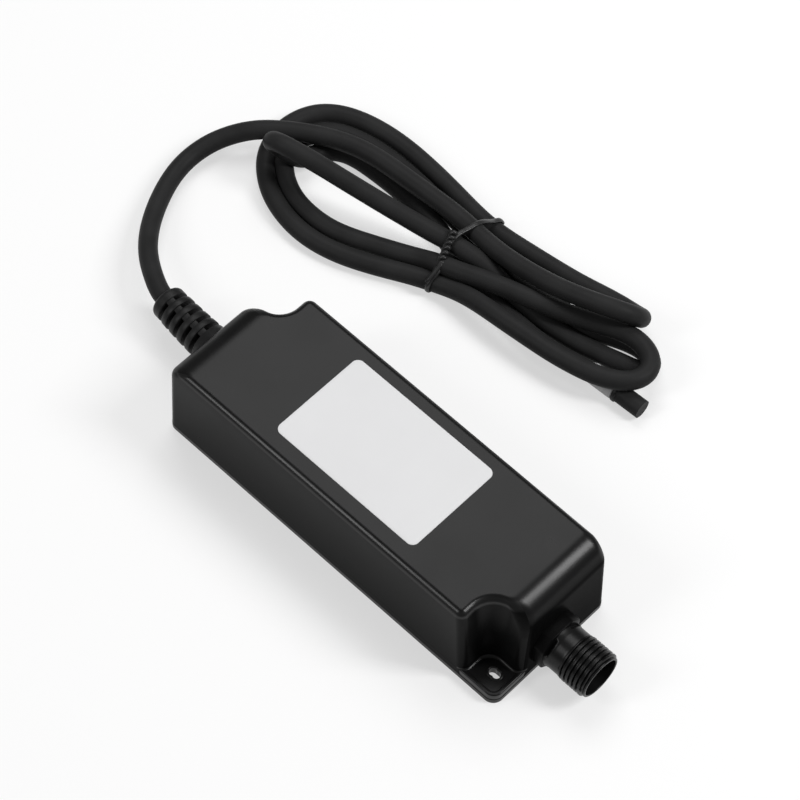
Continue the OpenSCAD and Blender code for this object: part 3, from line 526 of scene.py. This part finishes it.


# Each end wall has its own painted shade, a lower IOR, from the last third of its lip to the middle of its
# plain corner, with a painted highlight on the socket end's rounding. The ears and the foot of each scallop
# have a higher IOR of their own, a painted highlight.
FOOT_REACH = 25
HALF_POINTS = len(loops[0]) // 2
END_FACES = range(3 * (ARC_STEPS + 1) - 7, 3 * (ARC_STEPS + 1) + ARC_STEPS // 2)
SIDE_FACES = (len(heights) - 1) * len(loops[0])
body_faces = len(case_body.data.polygons)
case = join("case", case_body, ear_piece(SOCKET_SCALLOP_L, 1), ear_piece(RELIEF_SCALLOP_L, -1))
sharpen(case, degrees=42)
for mat in (case_mat, case_end_mat, ear_mat, case_far_mat):
    case.data.materials.append(mat)
for number, polygon in enumerate(case.data.polygons):
    x, y, z = (c / MM for c in polygon.center)
    on_end = number < SIDE_FACES and number % HALF_POINTS in END_FACES
    near_foot = (z < EAR_TOP + FOOT_R and abs(x) > HALF_L - FOOT_REACH and x * y < 0
                 and polygon.normal.z > 0.05)
    if number >= body_faces or near_foot:
        polygon.material_index = 2
    elif on_end:
        polygon.material_index = 1 if x > 0 else 3
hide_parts("housing_shell")


# Label: a bare silver-white foil

def rounded_rectangle(l, w, r, steps=12):
    x, y = l / 2 - r, w / 2 - r
    return (arc(x, y, r, 0, 90, steps) + arc(-x, y, r, 90, 180, steps)
            + arc(-x, -y, r, 180, 270, steps) + arc(x, -y, r, 270, 360, steps))


rows = []
for grow, z in ((0, CASE_H - 0.02), (0, CASE_H + LABEL_T - 0.07), (-0.03, CASE_H + LABEL_T - 0.02),
                (-0.1, CASE_H + LABEL_T), (-1.2, CASE_H + LABEL_T)):
    rows.append([(x + LABEL_X, y + LABEL_Y, z) for x, y in
                 rounded_rectangle(LABEL_L + 2 * grow, LABEL_W + 2 * grow, LABEL_R + grow)])
points, faces = stack(rows)
last = len(points) - len(rows[-1])
faces.append(tuple(range(last, len(points))))
label = sharpen(mesh_piece("label", points, faces), degrees=50)
label_mat = material("label_foil", finish_of(grey(0.67), grey(0.71), 0.42, 0.5, cloud=30, grain=1500,
                                             grain_depth=0.00001, strength=0.15))
label.data.materials.append(label_mat)
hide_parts("rating_label")


# Output socket

def at_socket(s, r, a):
    return SEAT_X + s, r * math.cos(a), AXIS_Z + r * math.sin(a)


FLANGE_W, FLANGE_T, FLANGE_CUT = 18, 4.4, 4
COLLAR_R, COLLAR_L, SHANK_R = 8.65, 1.4, 8.4
REACH, THREAD_L, THREAD_R, ROOT_R, PITCH = 22, 11.3, 8.8, 7.8, 1.72
BORE_R, BORE_L = 7.2, 10.4
NOTCH_HALF_ANGLE, NOTCH_MIDDLES = 24, (46, 136, 226, 316)
THREAD_START, THREAD_STEP, THREAD_ROWS = REACH - THREAD_L, 0.1, 107
RUN_IN, RUN_OUT, RUN_OUT_END, ROOT_RUN_IN = 1.2, 0.5, 0.7, 0.8


def octagon(inset, s):
    """The flange's outline at a distance s along the axis, with three points on each rounded corner."""
    h = FLANGE_W / 2 - inset
    c = h - FLANGE_CUT + 0.41 * inset
    flat = [Vector(p) for p in ((c, -h), (h, -c), (h, c), (c, h), (-c, h), (-h, c), (-h, -c), (-c, -h))]
    loop = []
    for i, p in enumerate(flat):
        to_a = (flat[i - 1] - p).normalized()
        to_b = (flat[(i + 1) % 8] - p).normalized()
        loop += [p + 0.385 * to_a, p + 0.119 * (to_a + to_b).normalized(), p + 0.385 * to_b]
    return [(SEAT_X + s, v[0], AXIS_Z + v[1]) for v in loop]


rows = [octagon(0, -0.3), octagon(0, FLANGE_T - 0.45), octagon(0.06, FLANGE_T - 0.22),
        octagon(0.2, FLANGE_T - 0.06), octagon(0.42, FLANGE_T)]
points, faces = stack(rows, cap_low=True, cap_high=True)
flange = sharpen(mesh_piece("flange", points, faces), degrees=30)


def clamp(value):
    return min(1, max(0, value))


def thread(s):
    """The radius at a distance along the thread, as a function of the angle. The ridge fades in and out,
    and its crest is slightly hollow."""
    from_start = s - THREAD_START
    fade = clamp((from_start + 0.2) / RUN_IN) * clamp((REACH - RUN_OUT_END - s) / RUN_OUT)
    base = SHANK_R + (ROOT_R - SHANK_R) * clamp(from_start / ROOT_RUN_IN)
    height = (THREAD_R - ROOT_R) * fade * (1 if base < SHANK_R else 0.4)

    def radius(a):
        phase = (from_start / PITCH - a / (2 * math.pi) - 0.25) % 1
        wave = math.cos(2 * math.pi * (phase - 0.5))
        ridge = clamp((0.5 + 0.5 * wave - 0.1) / 0.45)
        return base + height * (ridge * ridge * (3 - 2 * ridge) - 0.16 * max(0, wave - 0.6))
    return radius


def collar(r, depth=0.0):
    """The radius of the collar, with a lens-shaped notch towards each corner of the flange."""
    def radius(a):
        for middle in NOTCH_MIDDLES:
            off = abs((math.degrees(a) - middle + 180) % 360 - 180)
            if off < NOTCH_HALF_ANGLE:
                return r - depth * math.sqrt(1 - (off / NOTCH_HALF_ANGLE) ** 2)
        return r
    return radius


rows = [(FLANGE_T - 0.1, collar(COLLAR_R, 1.2)), (FLANGE_T + 0.5, collar(COLLAR_R, 1.2)),
        (FLANGE_T + 0.9, collar(COLLAR_R - 0.02, 0.9)), (FLANGE_T + 1.25, collar(COLLAR_R - 0.06, 0.2)),
        (FLANGE_T + COLLAR_L + 0.2, collar(SHANK_R + 0.12)), (FLANGE_T + COLLAR_L + 0.6, SHANK_R)]
rows += [(s, SHANK_R) for s in (FLANGE_T + COLLAR_L + 1, THREAD_START - 1, THREAD_START - 0.3)]
rows += [(s, thread(s)) for s in (THREAD_START + THREAD_STEP * k for k in range(THREAD_ROWS))]
rows += [(REACH - 0.62, 8.0), (REACH - 0.4, 8.12), (REACH - 0.18, 8.06), (REACH - 0.05, 7.9), (REACH, 7.65),
         (REACH - 0.03, BORE_R + 0.1), (REACH - 0.16, BORE_R + 0.02), (REACH - 0.4, BORE_R),
         (REACH - BORE_L, BORE_R), (REACH - BORE_L, 5)]
barrel = sharpen(lathe("barrel", at_socket, rows, sides=144), degrees=48)
flange_faces = len(flange.data.polygons)
socket = join("socket", flange, barrel)
socket.data.materials.append(socket_mat)
socket.data.materials.append(flange_mat)
for polygon in list(socket.data.polygons)[:flange_faces]:
    polygon.material_index = 1
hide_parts("output_socket")


# Strain relief: rings joined by a rib above and a rib below, on a slightly bent axis. Its diameters, tip
# collar and the widths of its rings and ribs differ a little from the part's source.

RELIEF_L, ROOT_D, TIP_D, CORE_D = 31.2, 15.1, 12.8, 7.2
TIP_COLLAR_L, RING_COUNT, RING_PITCH, RING_W, RIB_W, RIB_DROP, BEND = 3.9, 6, 4.15, 2.5, 3.4, 0.4, 7
SOLID_RINGS, RELIEF_DROP, RIB_TURN, TIP_EDGE_L, TIP_EDGE_R = 2, 0.4, -12, 1.6, 1.3
BEND_R = RELIEF_L * 180 / (math.pi * BEND)
ROOT_L = RELIEF_L - TIP_COLLAR_L - RING_COUNT * RING_PITCH - (RING_PITCH - RING_W)


def at_relief(s, r, a):
    turn = math.radians(BEND) * s / RELIEF_L
    centre = (-SEAT_X - BEND_R * math.sin(turn), BEND_R * (1 - math.cos(turn)), AXIS_Z - RELIEF_DROP)
    up, side = math.cos(a), math.sin(a)
    return (centre[0] + r * side * math.sin(turn), centre[1] + r * side * math.cos(turn),
            centre[2] + r * up)


def relief_full(s):
    return (ROOT_D + (TIP_D - ROOT_D) * s / RELIEF_L) / 2


def relief_slot(s):
    """The radius between two rings: the core, and a rib above and below."""
    def radius(a):
        rib = relief_full(s) - RIB_DROP
        across = abs(math.sin(a - math.radians(RIB_TURN))) * rib
        return CORE_D / 2 + (rib - CORE_D / 2) * clamp((RIB_W / 2 + 0.2 - across) / 0.4)
    return radius


first_s = ROOT_L + SOLID_RINGS * RING_PITCH
full = relief_full(first_s)
rows = [(-0.3, ROOT_D / 2), (first_s - 0.25, full), (first_s - 0.1, full - 0.08),
        (first_s, full - 0.25), (first_s + 0.02, relief_slot(first_s))]
for i in range(SOLID_RINGS, RING_COUNT):
    s0 = ROOT_L + i * RING_PITCH + RING_PITCH - RING_W
    s1 = s0 + RING_W
    for s in (s0 - 0.02, s1 + 0.02):
        step = 1 if s < s0 else -1
        full = relief_full(s)
        edge = [(s, relief_slot(s)), (s + 0.02 * step, full - 0.25), (s + 0.1 * step, full - 0.08),
                (s + 0.25 * step, full)]
        rows += edge if step > 0 else edge[::-1]
tip_s = RELIEF_L - TIP_COLLAR_L
rows += [(tip_s - 0.02, relief_slot(tip_s)), (tip_s, TIP_D / 2 - 0.2), (tip_s + 0.2, TIP_D / 2)]
for k in range(13):
    u = k / 12
    rows.append((RELIEF_L - TIP_EDGE_L + TIP_EDGE_L * u,
                 TIP_D / 2 - TIP_EDGE_R * (1 - math.sqrt(1 - u * u))))
rows.append((RELIEF_L, CABLE_D / 2))
relief = sharpen(lathe("relief", at_relief, rows, sides=180), degrees=40)
relief.data.materials.append(relief_mat)
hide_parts("strain_relief")


# The wire tie round the middle of the hank, twisted and with two loose ends

TIE_R, TIE_FLAT, WIRE_R, KNOT_R, KNOT_TURNS = 0.95, 0.5, 0.78, 0.95, 3.2
TIE_ROUTE = [(-50.6, 112.2, 3.5), (-50.7, 111, 6.6), (-50.9, 107.6, 8), (-51.2, 103.6, 12.6),
             (-51.6, 99.6, 15), (-52.2, 95.5, 14.8), (-53, 91.5, 15.6), (-53, 87.5, 14.6),
             (-52.3, 83, 12.4), (-51.2, 79, 9.4), (-50, 75.2, 8.3), (-49.6, 72.8, 6.6),
             (-49.5, 71.8, 3.5), (-49.8, 74, 1.3), (-50, 80, 1), (-50.2, 90, 1), (-50.4, 100, 1),
             (-50.5, 108, 1), (-50.6, 111.2, 1.8), (-50.6, 112.2, 3.5)]
KNOT_FROM, KNOT_TO = Vector((-54.4, 90.5, 15.9)), Vector((-50.8, 80.2, 10.8))

tie_band = tube("tie_band", spline(TIE_ROUTE, steps=8), TIE_R, sides=14, flat=TIE_FLAT)
knots = []
for side in (0, math.pi):
    line = []
    for k in range(61):
        t = k / 60
        turn = side + 2 * math.pi * KNOT_TURNS * t
        round_it = Vector((math.cos(turn), 0.3 * math.sin(turn), math.sin(turn) * 0.9))
        line.append(KNOT_FROM.lerp(KNOT_TO, t) + KNOT_R * round_it)
    line += [line[-1] + Vector((0.4 + 1.1 * (side > 0), -1.6 * q, -0.75 * q)) for q in (1, 2, 3, 4, 5)]
    knots.append(tube("knot", line, WIRE_R, sides=12))
tie = join("tie", tie_band, *knots)
tie.data.materials.append(tie_mat)
tie.data.polygons.foreach_set("use_smooth", [True] * len(tie.data.polygons))
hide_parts("twist_tie")


# Finishes of the CAD nodes that stay

def dress(name, mat):
    slots = nodes[name].material_slots
    if not slots:
        nodes[name].data.materials.append(mat)
    for slot in nodes[name].material_slots:
        slot.material = mat


dress("base_cover", cover_mat)
dress("socket_seal", plain_finish("seal_rubber", (0.25, 0.03, 0.02), 0.6))
dress("lock_nut", socket_mat)
dress("socket_insert", plain_finish("insert_plastic", (0.016, 0.016, 0.017), 0.45))
dress("socket_contacts", plain_finish("gold_plate", (0.75, 0.52, 0.20), 0.3, 1.0))
dress("cord_inner", cable_mat)
dress("circuit_board", plain_finish("board_green", (0.02, 0.11, 0.04), 0.45))
dress("fuse", plain_finish("fuse_body", (0.30, 0.22, 0.12), 0.5))
dress("varistor", plain_finish("varistor_blue", (0.03, 0.10, 0.40), 0.5))
dress("thermistor", plain_finish("thermistor_green", (0.02, 0.03, 0.02), 0.55))
dress("x_capacitor", plain_finish("film_yellow", (0.60, 0.42, 0.05), 0.4))
dress("y_capacitor", plain_finish("ceramic_blue", (0.02, 0.14, 0.45), 0.5))
dress("choke_core", plain_finish("ferrite_green", (0.05, 0.12, 0.07), 0.6))
winding_mat = plain_finish("enamelled_wire", (0.55, 0.22, 0.08), 0.35, 0.8)
dress("choke_windings", winding_mat)
dress("transformer_winding", plain_finish("winding_tape", (0.62, 0.45, 0.08), 0.45))
dress("transformer_bobbin", plain_finish("bobbin_plastic", (0.03, 0.03, 0.03), 0.5))
ferrite_mat = plain_finish("ferrite_grey", (0.05, 0.048, 0.046), 0.6)
dress("transformer_core", ferrite_mat)
package_mat = plain_finish("package_black", (0.02, 0.02, 0.02), 0.55)
for name in ("bridge_rectifier", "switching_transistor", "output_diode", "controller_chip", "optocoupler"):
    dress(name, package_mat)
sleeve_mat = plain_finish("capacitor_sleeve", (0.03, 0.04, 0.10), 0.35)
for name in ("bulk_capacitor", "output_capacitors"):
    dress(name, sleeve_mat)
sink_mat = plain_finish("heatsink_metal", (0.60, 0.60, 0.61), 0.4, 1.0)
for name in ("transistor_heatsink", "diode_heatsink"):
    dress(name, sink_mat)
dress("input_leads", plain_finish("core_brown", (0.10, 0.035, 0.015), 0.5))
dress("output_leads", plain_finish("lead_red", (0.45, 0.03, 0.02), 0.45))
dress("potting_compound", plain_finish("resin", (0.05, 0.05, 0.052), 0.5))


# What each piece rides on, and what the mains lead's pieces replace

for piece in (cord, band, ring, case, label, socket, relief, tie):
    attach(piece, "root")
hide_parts("cord_lead", "cord_hank", "cord_tail")
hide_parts("cord_end_band")
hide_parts("cord_end_ring")


# Floor and light

FLOOR_HALF, FLOOR_Z, FLOOR_GREY, FLOOR_GLOW = 6, -0.0002, 0.45, 0.53
corners = [(x * FLOOR_HALF, y * FLOOR_HALF, FLOOR_Z) for x, y in ((-1, -1), (1, -1), (1, 1), (-1, 1))]
floor = mesh_piece("floor", corners, [(0, 1, 2, 3)], scale=1, smooth=False)


def floor_build(tree, shader):
    """A matt grey that keeps shadows, and a glow that only the camera, reflections and clear pieces see."""
    tree.nodes.remove(shader)
    out = tree.nodes["Material Output"]
    path = tree.nodes.new("ShaderNodeLightPath")
    diffuse = tree.nodes.new("ShaderNodeBsdfDiffuse")
    diffuse.inputs["Color"].default_value = (FLOOR_GREY, FLOOR_GREY, FLOOR_GREY, 1)
    glow = tree.nodes.new("ShaderNodeEmission")
    glow.inputs["Color"].default_value = (1, 1, 1, 1)
    seen = tree.nodes.new("ShaderNodeMath")
    seen.operation = "MAXIMUM"
    either = tree.nodes.new("ShaderNodeMath")
    either.operation = "MAXIMUM"
    share = tree.nodes.new("ShaderNodeMath")
    share.operation = "MULTIPLY"
    share.inputs[1].default_value = FLOOR_GLOW
    total = tree.nodes.new("ShaderNodeAddShader")
    tree.links.new(path.outputs["Is Camera Ray"], seen.inputs[0])
    tree.links.new(path.outputs["Is Glossy Ray"], seen.inputs[1])
    tree.links.new(seen.outputs[0], either.inputs[0])
    tree.links.new(path.outputs["Is Transmission Ray"], either.inputs[1])
    tree.links.new(either.outputs[0], share.inputs[0])
    tree.links.new(share.outputs[0], glow.inputs["Strength"])
    tree.links.new(diffuse.outputs[0], total.inputs[0])
    tree.links.new(glow.outputs[0], total.inputs[1])
    tree.links.new(total.outputs[0], out.inputs["Surface"])


floor.data.materials.append(material("floor_paper", floor_build))

world = bpy.data.worlds.new("world")
bpy.context.scene.world = world
world.use_nodes = True
tree = world.node_tree
background = tree.nodes["Background"]
background.inputs["Color"].default_value = (1, 1, 1, 1)
background.inputs["Strength"].default_value = 0.22

# The point that the lamps are set round, in metres
MIDDLE = Vector((-0.02, 0.03, 0.02))


def lamp(name, direction, distance, size, size_y, power):
    """A soft rectangular lamp that faces the object from the given direction."""
    data = bpy.data.lights.new(name, "AREA")
    data.shape = "RECTANGLE"
    data.size = size
    data.size_y = size_y
    data.energy = power
    obj = bpy.data.objects.new(name, data)
    way = Vector(direction).normalized()
    obj.location = way * distance + MIDDLE
    obj.rotation_euler = way.to_track_quat("Z", "Y").to_euler()
    bpy.context.scene.collection.objects.link(obj)


lamp("top_light", (-0.33, 0.36, 0.875), distance=1.3, size=0.75, size_y=0.75, power=6.5)
lamp("key_light", (0.55, 0.37, 0.75), distance=1.3, size=0.26, size_y=0.6, power=9.0)
lamp("side_light", (-0.33, -0.67, 0.67), distance=1.4, size=0.3, size_y=0.6, power=4.2)
